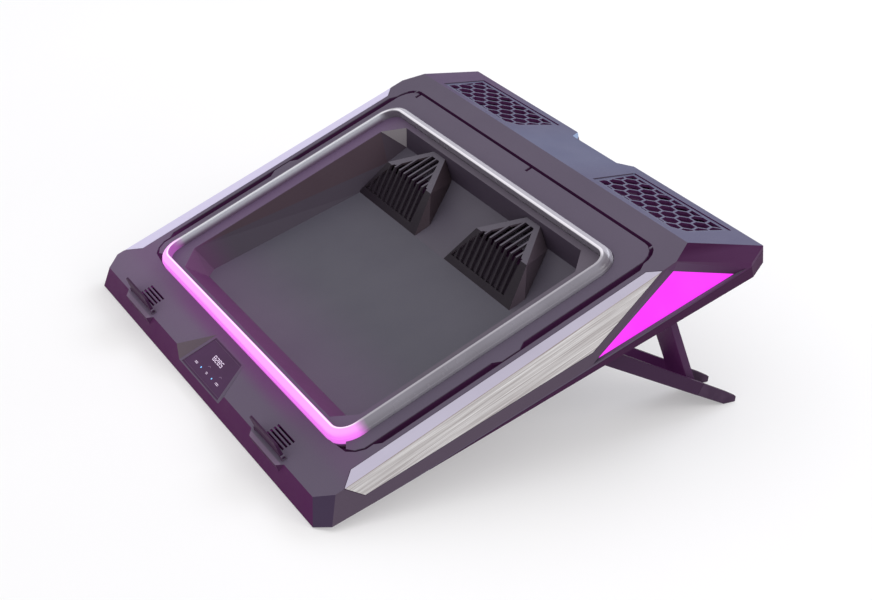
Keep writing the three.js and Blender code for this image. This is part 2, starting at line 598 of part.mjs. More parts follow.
const troughCut = (side, s0, s1) => prismX([[s0, TROUGH.floor], [s1, TROUGH.floor], [s1, 12], [s0, 12]],
  side * (ARM_X[0] + TROUGH.wall), side * (ARM_X[1] - TROUGH.wall));

function notchCuts(side, from, to) {
  const cuts = [];
  for (let s = from; s <= to; s += 6.5) {
    const low = TROUGH.floor - TROUGH.notchDepth;
    cuts.push(prismX([[s, low], [s + 2.6, low], [s + 3.4, 0], [s, 0]],
      side * (ARM_X[0] + TROUGH.wall + 2), side * (ARM_X[1] - TROUGH.wall - 2)));
  }
  return joined(cuts);
}

const TONGUE = { low: -4.9, high: -4.1, end: 128, x: [172, 185] };
function tongueForm(side, grow) {
  return prismX([[CAP_START - 6, TONGUE.low - grow], [TONGUE.end + grow, TONGUE.low - grow],
    [TONGUE.end + grow, TONGUE.high + grow], [CAP_START - 6, TONGUE.high + grow]],
  side * (TONGUE.x[0] - grow), side * (TONGUE.x[1] + grow));
}

function legArm(side) {
  const bar = prismX(armProfile(-1, CAP_START - GAP), side * ARM_X[0], side * ARM_X[1]);
  const bore = rod(2.3, 60, 'x', [side * 178.5, 0, 0]);
  return without(bar, [troughCut(side, -20, 130), bore, notchCuts(side, 34, 104)]).add(tongueForm(side, 0));
}

// The table, seen from an arm's own frame.
function tableInArm() {
  const tilt = DECK_TILT - WEDGE + ARM.angle;
  const [y, z] = fromBase(ARM.u, ARM.w);
  const height = (spot) => spot.y * Math.sin(DECK_TILT) + spot.z * Math.cos(DECK_TILT);
  const drop = height({ y, z }) - height(NOSE) + GROUND_DROP;
  const normal = v(0, -Math.sin(tilt), -Math.cos(tilt));
  return new THREE.Plane(normal, -drop);
}

function legFoot(side) {
  const cap = prismX(armProfile(CAP_START, ARM.length), side * ARM_X[0], side * ARM_X[1]);
  const cuts = [troughCut(side, 100, 160), notchCuts(side, 117, 140), tongueForm(side, GAP)];
  return without(cap, cuts).intersect(halfSpace(tableInArm()));
}

// Drawn from its pivot along s.
function legStrut(side) {
  const { length, half, x } = STRUT;
  const blade = prismX([[8.5, -half], [length - 2, -half], [length, -half + 1.6], [length, half - 1.6],
    [length - 2, half], [8.5, half]], side * x[0], side * x[1]);
  const neck = prismX([[0, -half], [9, -half], [9, half], [0, half]], side * 167.4, side * 189.6);
  const eye = rod(half, 22.2, 'x', [side * 178.5, 0, 0]);
  const window = prismX([[24, -6], [62, -6], [62, 6], [24, 6]], side * 173, side * 184);
  return without(joined([blade, neck, eye]), [rod(1.8, 40, 'x', [side * 178.5, 0, 0], 16)
    .add(window.intersect(prismX([[24, half - 1], [62, half - 1], [62, 9], [24, 9]],
      side * 150, side * 210)))]);
}

// ---- blowers, drawn over the base: X, u along it, w above it ----
const FLOOR_W = 2.8; // lowest point of the blower, above the base
function blowerHousing(side) {
  const { x, u, radius, height, wall, inlet } = BLOWER;
  const centre = side * x;
  const duct = [centre - 37, centre + 10];
  const disc = (r, w0, w1, segments) => rod(r, w1 - w0, 'z', [centre, u, (w0 + w1) / 2], segments);
  const top = FLOOR_W + height;
  const outer = joined([disc(radius, FLOOR_W, top, 32), box(...duct, 268, u, FLOOR_W, 16.4)]);
  const inner = joined([disc(radius - wall, FLOOR_W + wall, top - wall, 32),
    box(duct[0] + wall, duct[1] - wall, 262, u, FLOOR_W + wall, 16.4 - wall)]);
  return without(outer, [inner, disc(inlet, top - 4, top + 2, 28)]);
}

function impeller(side) {
  const low = FLOOR_W + BLOWER.wall + 1.2;
  const centre = [side * BLOWER.x, BLOWER.u];
  const disc = (r, w0, w1, segments) => rod(r, w1 - w0, 'z', [...centre, (w0 + w1) / 2], segments);
  const cup = disc(12.5, low, low + 11, 24).subtract(disc(11, low - 1, low + 9.6, 24));
  const plate = disc(31, low, low + 1.2, 30).subtract(disc(12, low - 1, low + 2, 24));
  const blades = [];
  for (let index = 0; index < BLADES; index += 1) {
    const path = [];
    const back = [];
    for (const t of [0, 0.5, 1]) {
      const r = 20 + 11 * t;
      const angle = (index / BLADES) * 2 * Math.PI + side * t * t * 0.32;
      path.push([centre[0] + r * Math.cos(angle), centre[1] + r * Math.sin(angle)]);
      back.unshift([centre[0] + r * Math.cos(angle + 0.045), centre[1] + r * Math.sin(angle + 0.045)]);
    }
    blades.push(prismZ(outline([...path, ...back]), low + 0.6, low + 10.6));
  }
  return joined([cup, plate, disc(1.5, low - 0.4, low + 10, 12), ...blades]);
}

function blowerMotor(side) {
  const centre = [side * BLOWER.x, BLOWER.u];
  const floor = FLOOR_W + BLOWER.wall + GAP;
  const disc = (r, w0, w1, segments) => rod(r, w1 - w0, 'z', [...centre, (w0 + w1) / 2], segments);
  const poles = [];
  for (let index = 0; index < 6; index += 1) {
    const angle = index * 60 * RAD;
    const [x, y] = [centre[0] + 9.6 * Math.cos(angle), centre[1] + 9.6 * Math.sin(angle)];
    poles.push(rod(1.7, 7, 'z', [x, y, floor + 5.2], 10));
  }
  return without(disc(10, floor + 0.2, floor + 9, 24), [disc(1.9, 0, 40, 16), ...poles]);
}

// ---- fasteners, boards, feet ----
function screw(x, y) {
  const z = baseZ(y);
  const profile = [[0, 0.3], [2.7, 0.3], [2.7, 1.1], [1.45, 1.5], [1.45, 11], [0, 11]];
  const turned = new THREE.LatheGeometry(profile.map(([r, h]) => new THREE.Vector2(r, h)), 12);
  return toSolid(turned.rotateX(Math.PI / 2).translate(x, y, z)).subtract(
    joined([box(x - 1.6, x + 1.6, y - 0.35, y + 0.35, z - 1, z + 0.75),
      box(x - 0.35, x + 0.35, y - 1.6, y + 1.6, z - 1, z + 0.75)]));
}

function stopper(side) {
  const { halfWidth, height, thickness, axisZ } = STOPPER;
  const x0 = side * STOPPER.x;
  const half = thickness / 2;
  const blade = hull([
    ...[-halfWidth, halfWidth].flatMap((x) => [v(x0 + x, -half, 0), v(x0 + x, half, 0),
      v(x0 + x, -half, height - axisZ - 1.5), v(x0 + x, half, height - axisZ - 1.5)]),
    ...[1.5 - halfWidth, halfWidth - 1.5].flatMap((x) => [v(x0 + x, -0.6, height - axisZ),
      v(x0 + x, 0.6, height - axisZ)]),
  ]);
  const barrel = rod(1.6, 2 * halfWidth, 'x', [x0, 0, 0], 18);
  return blade.add(barrel).subtract(rod(1.15, 60, 'x', [x0, 0, 0], 16));
}

function frontFoot(side) {
  const ground = (u) => -u * Math.tan(DECK_TILT - WEDGE) - GROUND_DROP / Math.cos(DECK_TILT - WEDGE);
  const outline = [[FOOT.start, ground(FOOT.start)], [FOOT.end, ground(FOOT.end)],
    [FOOT.end, 1], [FOOT.start, 1]];
  return basePrism(outline, side * (FOOT.x - FOOT.halfWidth), side * (FOOT.x + FOOT.halfWidth));
}

function windowBoard(side) {
  return sideSlab(side, grown(LENS_CORNERS, -1.5), 7.2, 8.4);
}

function ioBoard() {
  return basePrism([[326, 3.2], [348.4, 3.2], [348.4, 4.8], [326, 4.8]], -27, 30)
    .add(basePrism([[330, 4.5], [342, 4.5], [342, 8], [330, 8]], -20, -6))
    .add(basePrism([[331, 4.5], [338, 4.5], [338, 6.2], [331, 6.2]], 6, 20));
}

// ---- assembly ----
const deck = new THREE.Group();
deck.rotation.x = DECK_TILT;
const base = new THREE.Group();
base.position.set(0, NOSE.y, NOSE.z);
base.rotation.x = -WEDGE;
deck.add(base);

function place(parent, name, solid, look) {
  const mesh = new THREE.Mesh(toGeometry(solid), look);
  mesh.name = name;
  parent.add(mesh);
  return mesh;
}

// A group whose origin is at (u, w) over the base, turned by angle.
function baseMount(u, w, angle) {
  const mount = new THREE.Group();
  mount.position.set(0, u, w);
  mount.rotation.x = angle;
  base.add(mount);
  return mount;
}

place(deck, 'upper_shell', upperShell(), CHARCOAL);
place(deck, 'bottom_cover', bottomCover(), DARK);
place(deck, 'well_tray', wellTray(), FLOOR_GREY);
place(deck, 'top_plate', topPlate(), CHARCOAL);
place(deck, 'light_ring', lightRing(), RING_GREY);
place(deck, 'ring_led_strip', ringLeds(), BOARD);
place(deck, 'control_panel', panelSlab(0.88, -1.4, -0.1), GLOSS);
place(deck, 'control_board', panelSlab(0.75, -6.4, -5.2), BOARD);
place(deck, 'io_board', ioBoard(), BOARD);
for (const socket of SOCKETS) place(deck, socket.name, socketBody(socket), STEEL);
SCREWS.forEach(([x, y], index) => place(deck, `cover_screw_${index + 1}`, screw(x, y), STEEL));

const sides = [{ side: 1, tag: 'right' }, { side: -1, tag: 'left' }];
sides.forEach(({ side, tag }, index) => {
  const trim = trimForm(side, 0, false);
  const pin = (radius, x0, x1) => rod(radius, x1 - x0, 'x', [side * (x0 + x1) / 2, 0, 0]);
  place(deck, `side_trim_${tag}`, trim, BRUSHED);
  place(deck, `window_lens_${tag}`, sideSlab(side, LENS_CORNERS, 3.1, 5.1), LENS);
  place(deck, `window_led_board_${tag}`, windowBoard(side), BOARD);
  place(deck, `intake_grille_${tag}`, intakeGrille(side * GRILLE.x), DARK);
  place(deck, `outlet_louvre_${tag}`, outletLouvre(OUTLET_X[index]), DARK);
  place(deck, `front_foot_${tag}`, frontFoot(side), RUBBER);
  place(base, `blower_housing_${tag}`, blowerHousing(side), DARK);
  place(base, `blower_motor_${tag}`, blowerMotor(side), MOTOR);
  place(base, `impeller_${tag}`, impeller(side), GLOSS);

  const hinge = new THREE.Group();
  hinge.position.set(0, STOPPER.y, STOPPER.axisZ);
  deck.add(hinge);
  place(hinge, `stopper_${tag}`, stopper(side), DARK);
  place(hinge, `stopper_pin_${tag}`, pin(0.8, STOPPER.x - 23.8, STOPPER.x + 23.8), STEEL);

  const arm = baseMount(ARM.u, ARM.w, ARM.angle);
  place(arm, `leg_arm_${tag}`, legArm(side), CHARCOAL);
  place(arm, `leg_foot_${tag}`, legFoot(side), RUBBER);
  place(arm, `arm_pin_${tag}`, pin(2, 157.5, 199.7), STEEL);
  const strut = baseMount(STRUT.u, STRUT.w, STRUT.angle);
  place(strut, `leg_strut_${tag}`, legStrut(side), CHARCOAL);
  place(strut, `strut_pin_${tag}`, pin(1.5, 164.1, 192.9), STEEL);
});

// Stood on the table, centred on its footprint.
const pad = new THREE.Group();
pad.name = 'laptop_cooling_pad';
pad.add(deck);
pad.updateMatrixWorld(true);
const bounds = new THREE.Box3().setFromObject(pad, true);
deck.position.set(0, -(bounds.min.y + bounds.max.y) / 2, -bounds.min.z);
pad.updateMatrixWorld(true);

export default pad;
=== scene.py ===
"""Looks for the laptop cooling pad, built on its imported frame. Metres, the frame's axes."""
import math

import bmesh
import bpy
from mathutils import Matrix, Vector


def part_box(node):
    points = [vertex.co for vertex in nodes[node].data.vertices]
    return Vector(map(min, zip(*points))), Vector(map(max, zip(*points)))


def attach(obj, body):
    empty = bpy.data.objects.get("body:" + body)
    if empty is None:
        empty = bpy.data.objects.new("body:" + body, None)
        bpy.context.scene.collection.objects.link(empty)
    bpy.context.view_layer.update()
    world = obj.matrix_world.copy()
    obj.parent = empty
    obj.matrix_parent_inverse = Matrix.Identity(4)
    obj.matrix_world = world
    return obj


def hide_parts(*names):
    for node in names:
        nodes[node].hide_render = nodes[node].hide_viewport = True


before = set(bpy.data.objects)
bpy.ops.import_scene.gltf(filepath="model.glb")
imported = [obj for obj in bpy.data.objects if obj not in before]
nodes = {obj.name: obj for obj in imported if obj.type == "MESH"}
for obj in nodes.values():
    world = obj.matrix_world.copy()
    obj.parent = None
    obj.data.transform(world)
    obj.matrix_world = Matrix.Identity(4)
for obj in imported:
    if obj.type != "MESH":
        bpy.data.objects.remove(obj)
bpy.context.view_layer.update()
scene = bpy.context.scene
MM = 0.001
SIDES = ("right", "left")

# ---- deck frame: X right, Y rearwards along the deck, Z out of it, millimetres ----
TILT = math.radians(22.3)
DECK_UP = (0, -math.sin(TILT), math.cos(TILT))
DECK_REAR = (0, math.cos(TILT), math.sin(TILT))
PLATE_REAR = 295.0
PLATE_THICK = 2.3
plate_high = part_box("top_plate")[1]
deck_origin = Vector((
    0,
    plate_high.y - (PLATE_REAR * math.cos(TILT) + PLATE_THICK * math.sin(TILT)) * MM,
    plate_high.z - PLATE_REAR * math.sin(TILT) * MM,
))
DECK = Matrix.Translation(deck_origin) @ Matrix.Rotation(TILT, 4, "X") @ Matrix.Scale(MM, 4)


def deck(x, y, z):
    """A point given in deck millimetres, in the frame's metres."""
    return DECK @ Vector((x, y, z))


# ---- camera ----
CAMERA_AT = (1170, -141.8, 784.6)  # deck millimetres
VIEW_DIR = Vector((-0.7902, 0.4213, -0.4450))
VIEW_RIGHT = Vector((0.4705, 0.8824, 0.0))
FOCAL_LENGTH, SENSOR = 78.7293578, 36.0
SHIFT_X, SHIFT_Y = 0.0031, -0.0023
CLIP_NEAR, CLIP_FAR = 0.05, 50

camera_data = bpy.data.cameras.new("camera")
camera_data.sensor_width = SENSOR
camera_data.lens = FOCAL_LENGTH
camera_data.shift_x, camera_data.shift_y = SHIFT_X, SHIFT_Y
camera_data.clip_start = CLIP_NEAR
camera_data.clip_end = CLIP_FAR
camera = bpy.data.objects.new("camera", camera_data)
scene.collection.objects.link(camera)
back = -VIEW_DIR.normalized()
right = VIEW_RIGHT.normalized()
up = back.cross(right)
camera.matrix_world = Matrix((
    (right.x, up.x, back.x, 0), (right.y, up.y, back.y, 0), (right.z, up.z, back.z, 0), (0, 0, 0, 1),
))
camera.matrix_world.translation = deck(*CAMERA_AT)
scene.camera = camera
scene.view_settings.view_transform = "Standard"

# ---- studio ----
WORLD_COLOR, WORLD_STRENGTH = (1.0, 0.985, 1.0, 1), 0.9

world = bpy.data.worlds.new("studio")
scene.world = world
world.use_nodes = True
background = world.node_tree.nodes["Background"]
background.inputs["Color"].default_value = WORLD_COLOR
background.inputs["Strength"].default_value = WORLD_STRENGTH


def area_light(name, at, aim, size, power, color):
    """A rectangular lamp turned towards a point."""
    data = bpy.data.lights.new(name, "AREA")
    data.shape = "RECTANGLE"
    data.size, data.size_y = size
    data.energy = power
    data.color = color
    lamp = bpy.data.objects.new(name, data)
    scene.collection.objects.link(lamp)
    lamp.location = at
    lamp.rotation_euler = (Vector(aim) - Vector(at)).to_track_quat("-Z", "Y").to_euler()


area_light("softbox_rear", at=(-0.6, 1.9, 1.6), aim=(0, 0.05, 0.05), size=(1.6, 1.0),
           power=16, color=(0.86, 0.9, 1.0))
area_light("softbox_right", at=(1.6, 1.0, 1.2), aim=(0.1, 0, 0.05), size=(1.0, 1.0),
           power=7, color=(1.0, 0.99, 0.97))


# ---- node trees ----
def srgb(r, g, b):
    """Linear colour from 0-255 display values."""
    def lin(c):
        c /= 255
        return c / 12.92 if c <= 0.04045 else ((c + 0.055) / 1.055) ** 2.4
    return (lin(r), lin(g), lin(b), 1.0)


NOISE_LOW, NOISE_HIGH = 0.3, 0.7  # the values that a noise mostly keeps between


class Graph:
    """A material's node tree, built a node at a time."""

    def __init__(self, name):
        self.material = bpy.data.materials.new(name)
        self.material.use_nodes = True
        self.tree = self.material.node_tree
        self.shader = self.tree.nodes["Principled BSDF"]
        self.coords = self.add("ShaderNodeTexCoord").outputs["Object"]

    def add(self, kind, **settings):
        node = self.tree.nodes.new(kind)
        for key, value in settings.items():
            setattr(node, key, value)
        return node

    def feed(self, value, socket):
        """Gives a socket its value: a link from another node's output, or a constant."""
        if isinstance(value, bpy.types.NodeSocket):
            self.tree.links.new(value, socket)
        else:
            socket.default_value = value

    def deck_coords(self):
        """Object coordinates turned into deck millimetres."""
        node = self.add("ShaderNodeMapping", vector_type="POINT")
        node.inputs["Scale"].default_value = (1 / MM,) * 3
        node.inputs["Rotation"].default_value = (-TILT, 0, 0)
        node.inputs["Location"].default_value = DECK.inverted().translation
        self.feed(self.coords, node.inputs["Vector"])
        return node.outputs["Vector"]

    def split(self, vector):
        node = self.add("ShaderNodeSeparateXYZ")
        self.feed(vector, node.inputs[0])
        return node.outputs

    def normal(self):
        """The surface's direction in the piece's own frame, so that a tint stays as the piece moves."""
        return self.add("ShaderNodeTexCoord").outputs["Normal"]

    def normal_x(self):
        """How far the surface faces right, negative where it faces left."""
        return self.split(self.normal())["X"]

    def dot(self, vector, direction):
        node = self.add("ShaderNodeVectorMath", operation="DOT_PRODUCT")
        self.feed(vector, node.inputs[0])
        self.feed(direction, node.inputs[1])
        return node.outputs["Value"]

    def along(self, direction):
        """The cosine between the surface's direction and another."""
        return self.dot(self.normal(), direction)

    def facing(self, direction, low, high):
        """1 where the surface faces a direction or its mirror image across the middle of the pad."""
        normal = self.split(self.normal())
        folded = self.add("ShaderNodeCombineXYZ")
        self.feed(self.magnitude(normal["X"]), folded.inputs["X"])
        self.feed(normal["Y"], folded.inputs["Y"])
        self.feed(normal["Z"], folded.inputs["Z"])
        return self.ramp(self.dot(folded.outputs[0], direction), low, high, smooth=True)

    def noise(self, scale, detail, stretch=None, source=None, rough=0.55):
        vector = source or self.coords
        if stretch:
            mapping = self.add("ShaderNodeMapping")
            mapping.inputs["Scale"].default_value = stretch
            self.feed(vector, mapping.inputs["Vector"])
            vector = mapping.outputs["Vector"]
        node = self.add("ShaderNodeTexNoise")
        node.inputs["Scale"].default_value = scale
        node.inputs["Detail"].default_value = detail
        node.inputs["Roughness"].default_value = rough
        self.feed(vector, node.inputs["Vector"])
        return node.outputs["Fac"]

    def ramp(self, value, low, high, to_low=0.0, to_high=1.0, smooth=False):
        """Goes from to_low to to_high as a value goes from low to high."""
        node = self.add("ShaderNodeMapRange")
        node.interpolation_type = "SMOOTHSTEP" if smooth else "LINEAR"
        node.inputs["From Min"].default_value = low
        node.inputs["From Max"].default_value = high
        node.inputs["To Min"].default_value = to_low
        node.inputs["To Max"].default_value = to_high
        self.feed(value, node.inputs["Value"])
        return node.outputs["Result"]

    def fall(self, value, low, high, smooth=False):
        """1 below low, 0 above high."""
        return self.ramp(value, low, high, 1.0, 0.0, smooth)

    def band(self, value, rise, fall):
        """1 between two edges, each given as the pair of values it fades over."""
        return self.product(self.ramp(value, *rise), self.fall(value, *fall))

    def level(self, noise, low=0.0, high=1.0):
        """A noise's usual spread stretched between two values."""
        return self.ramp(noise, NOISE_LOW, NOISE_HIGH, low, high)

    def math(self, operation, a, b):
        node = self.add("ShaderNodeMath", operation=operation)
        self.feed(a, node.inputs[0])
        self.feed(b, node.inputs[1])
        return node.outputs[0]

    def magnitude(self, value):
        return self.math("ABSOLUTE", value, 0)

    def apart(self, value, centre):
        """How far a value is from a centre."""
        return self.magnitude(self.math("SUBTRACT", value, centre))

    def inverse(self, mask):
        return self.math("SUBTRACT", 1.0, mask)

    def product(self, *factors):
        result = factors[0]
        for factor in factors[1:]:
            result = self.math("MULTIPLY", result, factor)
        return result

    def mix(self, factor, a, b, blend="MIX"):
        node = self.add("ShaderNodeMix", data_type="RGBA", blend_type=blend)
        for index, value in ((0, factor), (6, a), (7, b)):
            self.feed(value, node.inputs[index])
        return node.outputs[2]

    def layers(self, color, *coats):
        """A colour with others laid over it in turn, each a mask and its tint."""
        for mask, tint in coats:
            color = self.mix(mask, color, tint)
        return color

    def bump(self, height, strength, distance):
        node = self.add("ShaderNodeBump")
        node.inputs["Strength"].default_value = strength
        node.inputs["Distance"].default_value = distance
        self.feed(height, node.inputs["Height"])
        self.feed(node.outputs["Normal"], self.shader.inputs["Normal"])

    def emit(self, color, strength):
        self.feed(color, self.shader.inputs["Emission Color"])
        self.feed(strength, self.shader.inputs["Emission Strength"])

    def surface(self, color, rough, **constants):
        self.feed(color, self.shader.inputs["Base Color"])
        self.feed(rough, self.shader.inputs["Roughness"])
        for key, value in constants.items():
            self.shader.inputs[key.replace("_", " ")].default_value = value
        return self.material


# ---- moulded plastics ----
FRONT_AND_UNDER = (0.0, -0.72, -0.69)
REAR_SLOPE = (0.0, 0.18, 0.98)
SIDE_SLOPE = (0.952, -0.104, 0.288)
ARM_UNDER = (0.0, -0.495, -0.869)
STRUT_FRONT = (0.0, -0.9, -0.4)
WELL_CHAMFER = (0.69, -0.70, -0.17)
MATT = (0.46, 0.6)  # the range of a roughness
RELIEF = 0.12  # strength of the grain

# Painted light and shade on the shell's faces: their direction (mirrored left and right), where each tint
# starts and is full, and the tint.
SHELL_FACE_SHADING = [
    ((0.0, -0.98, 0.19), 0.90, 0.97, (78, 22, 76)),  # front face
    (SIDE_SLOPE, 0.90, 0.98, (88, 76, 91)),  # sloping side
    ((0.579, -0.732, 0.359), 0.955, 0.985, (70, 57, 80)),  # front corner
    ((0.585, 0.047, 0.81), 0.955, 0.985, (56, 12, 54)),  # facet above the window
    (REAR_SLOPE, 0.975, 0.995, (97, 95, 122)),  # rear slope
    ((0.0, 0.6, -0.8), 0.0, 0.5, (56, 24, 58)),  # rear edge and underside
    ((0.0, -0.925, -0.379), 0.9, 0.97, (70, 22, 69)),  # lip under the stoppers
    ((0.65, -0.70, -0.29), 0.95, 0.985, (72, 34, 72)),  # ends of that lip
]

# Places in deck millimetres, each edge the pair of values that its mask fades over.
# On the shell, X is counted outward from the middle.
GLOW_LINE = 33.0  # Y of the line that the ring's pink light spreads from
SIDE_X, SIDE_REAR_Y = (199.0, 204.0), (235.0, 350.0)
SOCKET_BAY_X, SOCKET_BAY_Y = (60.0, 61.0), (354.8, 355.2)
SEAT_X, SEAT_Y, SEAT_Z = ((98.0, 100.0), (148.0, 150.0)), (2.9, 3.1), (-0.1, -0.2)  # under a stopper
SLOT_X, SLOT_Z = ((108.0, 109.0), (139.0, 140.0)), (-0.3, -0.6)  # behind a stopper
SLOT_MIDDLE, SLOT_HALF = 10.9, (5.6, 5.8)  # Y of the slots' middle, and from there to their ends
CHEEK_X, CHEEK_Y = (46.0, 48.0), (27.0, 29.0)  # beside the touch panel
GROOVE_X, GROOVE_Z = (193.0, 194.0), (-0.9, -0.6)  # round the top plate
GROOVE_FRONT, GROOVE_REAR = (4.4, 4.6), (311.0, 312.0)
WELL_LIP_Z = (-0.6, -0.1)
ARM_CHANNEL = (0.1612, 0.1616), (0.1954, 0.1958)  # in metres, as the arm's own coordinates are


def grained(g, color, rough, relief, specular):
    """The mould's fine grain and slow unevenness, laid over a colour."""
    color = g.mix(g.level(g.noise(9, 2), 0.0, 0.35), color, (0.8, 0.8, 0.82, 1), "MULTIPLY")
    speck = g.noise(2600, 2)
    color = g.mix(g.ramp(speck, 0.4, 0.7, 0.0, 0.4), color, (0.7, 0.7, 0.7, 1), "MULTIPLY")
    g.bump(speck, relief, 0.0002)
    return g.surface(color, g.level(g.noise(26, 4), *rough), Specular_IOR_Level=specular)


def with_painted_shade(g, main, shade_color):
    """The main colour, with the shade colour as painted shade on what faces the front and the table."""
    return g.mix(g.ramp(g.along(FRONT_AND_UNDER), -0.12, 0.62, smooth=True), main, shade_color)


def faint_glow(g, mask, strength):
    """Painted light: a faint purple glow where the mask is, standing in for the lamps inside the body and
    for light back from the floor.
    """
    spot = g.mix(g.level(g.noise(14, 2)), srgb(60, 24, 60), srgb(44, 16, 46))
    g.emit(spot, g.product(mask, strength))


def moulded(name, main, shade_color, rough=MATT, specular=0.2):
    """Grained plastic, with painted shade on what faces the front and the table."""
    g = Graph(name)
    return grained(g, with_painted_shade(g, main, shade_color), rough, RELIEF, specular)


def shell_material():
    """A tint of painted light and shade for each face, then painted light from the ring, the lamps and the
    sky on the shell, and painted shade in its groove.
    """
    g = Graph("charcoal_plastic")
    place = g.split(g.deck_coords())
    outward = g.magnitude(place["X"])
    from_glow = g.apart(place["Y"], GLOW_LINE)
    upward = g.ramp(g.along(DECK_UP), 0.9, 0.98, smooth=True)
    slope = g.facing(REAR_SLOPE, 0.975, 0.995)
    # Painted shade on the sides' rear ends.
    side_rear_shade = g.product(g.ramp(outward, *SIDE_X), g.ramp(place["Y"], *SIDE_REAR_Y, smooth=True),
                          g.facing(SIDE_SLOPE, 0.5, 0.9))
    # Painted shade on the rear slope's left end, painted light on its middle.
    slope_left_shade = g.product(slope, g.ramp(place["X"], -70.0, -190.0, smooth=True))
    slope_middle_light = g.product(slope, g.fall(outward, 20.0, 75.0, smooth=True), 0.5)
    # Painted highlight on the socket bay's wall that faces right.
    socket_bay_glint = g.product(g.ramp(place["Y"], *SOCKET_BAY_Y), g.ramp(g.normal_x(), 0.55, 0.65),
                           g.fall(outward, *SOCKET_BAY_X))
    # Painted pink light from the ring on upward faces near the front: a broad one, strongest on the left,
    # and a stronger one close to the ring.
    haze = g.product(g.ramp(place["X"], -190.0, 140.0, 1.0, 0.12, True), upward,
                     g.ramp(from_glow, 10.0, 70.0, 0.7, 0.0, True))
    pink_light_spill = g.product(g.ramp(outward, 70.0, 150.0, 0.6, 0.15, True), upward,
                      g.fall(from_glow, 3.0, 17.0, smooth=True))
    # Painted light on the top of the seat under each stopper.
    stopper_seat_light = g.product(upward, g.fall(place["Y"], *SEAT_Y), g.band(outward, *SEAT_X),
                             g.ramp(place["Z"], *SEAT_Z))
    # Painted light on the cheeks beside the touch panel where they turn right.
    cheek = g.product(g.fall(outward, *CHEEK_X), g.fall(place["Y"], *CHEEK_Y))
    cheek_light = g.product(cheek, g.ramp(g.normal_x(), 0.12, 0.3, smooth=True), 0.9)
    # Painted shade in the groove round the top plate, painted purple light in the slots behind the
    # stoppers.
    groove = g.product(g.fall(place["Z"], *GROOVE_Z), g.ramp(place["Y"], *GROOVE_FRONT),
                       g.fall(outward, *GROOVE_X), g.inverse(cheek), g.fall(place["Y"], *GROOVE_REAR))
    slots = g.product(g.band(outward, *SLOT_X), g.fall(g.apart(place["Y"], SLOT_MIDDLE), *SLOT_HALF),
                      g.ramp(place["Z"], *SLOT_Z), g.inverse(upward))
    # Painted light and shade on each face, from the table of face tints.
    faces = [(g.facing(direction, low, high), srgb(*tint)) for direction, low, high, tint in SHELL_FACE_SHADING]
    color = g.layers(
        srgb(99, 90, 107),
        *faces,
        (side_rear_shade, srgb(76, 40, 76)),
        (slope_left_shade, srgb(90, 72, 102)),
        (slope_middle_light, srgb(102, 108, 136)),
        (socket_bay_glint, srgb(148, 168, 202)),
        (haze, srgb(122, 101, 130)),
        (pink_light_spill, srgb(116, 58, 118)),
        (stopper_seat_light, srgb(130, 112, 136)),
        (cheek_light, srgb(104, 92, 100)),
        (groove, srgb(58, 32, 58)),
        (slots, srgb(104, 34, 100)),
    )
    # A painted glow in the groove, stronger towards the front left, and in the slots.
    lit_groove = g.product(groove, g.ramp(place["Y"], 90.0, 45.0), g.ramp(place["X"], 100.0, -100.0), 1.3)
    groove_glow = g.math("MAXIMUM", g.product(groove, 0.35), lit_groove)
    faint_glow(g, g.math("MAXIMUM", groove_glow, g.product(slots, 0.9)), 1.0)
    return grained(g, color, MATT, RELIEF, 0.07)


def grille_material():
    """The lattice's face in the same painted light as the rear slope round it, the cells' walls in dark
    purple painted shade with a faint painted glow.
    """
    g = Graph("grille_plastic")
    # Painted light on the lattice's face, painted shade and a faint painted glow on the cells' walls.
    face = g.facing(REAR_SLOPE, 0.9, 0.985)
    faint_glow(g, g.inverse(face), 0.4)
    return grained(g, g.mix(face, srgb(62, 28, 64), srgb(92, 92, 120)), MATT, 0.1, 0.2)


def inner_material(name, main, shade_color):
    """Plastic of a piece inside the body, with a faint painted glow for the lamps there, most at the rear,
    and the shade colour as painted shade on faces not turned up.
    """
    g = Graph(name)
    upward = g.ramp(g.along((0.0, 0.0, 1.0)), -0.2, 0.6, smooth=True)
    rear = g.ramp(g.split(g.deck_coords())["Y"], 262.0, 290.0, 0.12, 1.0)
    faint_glow(g, g.product(upward, rear), 0.55)
    return grained(g, g.mix(upward, shade_color, main), (0.45, 0.6), 0.14, 0.08)


def louvre_material():
    """Painted light and shade: the hood lighter where it faces up, painted shade between its slats, each
    flank in its own painted light.
    """
    g = Graph("louvre_plastic")
    sideways = g.normal_x()
    # Painted shade on the slats' sides, painted light on each flank.
    slats = g.ramp(g.magnitude(sideways), 0.985, 0.995)
    hood = g.inverse(slats)
    toward_right = g.ramp(g.split(g.deck_coords())["X"], -40.0, 20.0)
    flank = g.mix(toward_right, srgb(68, 57, 64), srgb(90, 79, 89))
    color = g.layers(
        srgb(38, 31, 40),
        (g.ramp(g.along(DECK_UP), 0.86, 0.97, smooth=True), srgb(94, 89, 100)),
        (slats, srgb(56, 48, 57)),
        (g.product(g.ramp(sideways, 0.25, 0.5, smooth=True), hood), flank),
        (g.product(g.ramp(sideways, -0.25, -0.5, smooth=True), hood), srgb(74, 69, 80)),
    )
    return grained(g, color, (0.35, 0.5), 0.1, 0.12)


def arm_material():
    """The leg's arm, with painted shade on what faces the front and the table, and a painted glow in its
    channel for light back from the floor.
    """
    g = Graph("leg_plastic")
    between_walls = g.band(g.magnitude(g.split(g.coords)["X"]), *ARM_CHANNEL)
    faint_glow(g, g.product(between_walls, g.fall(g.along(ARM_UNDER), 0.3, 0.6)), 0.7)
    return grained(g, with_painted_shade(g, srgb(62, 40, 65), srgb(62, 32, 63)), MATT, RELIEF, 0.08)


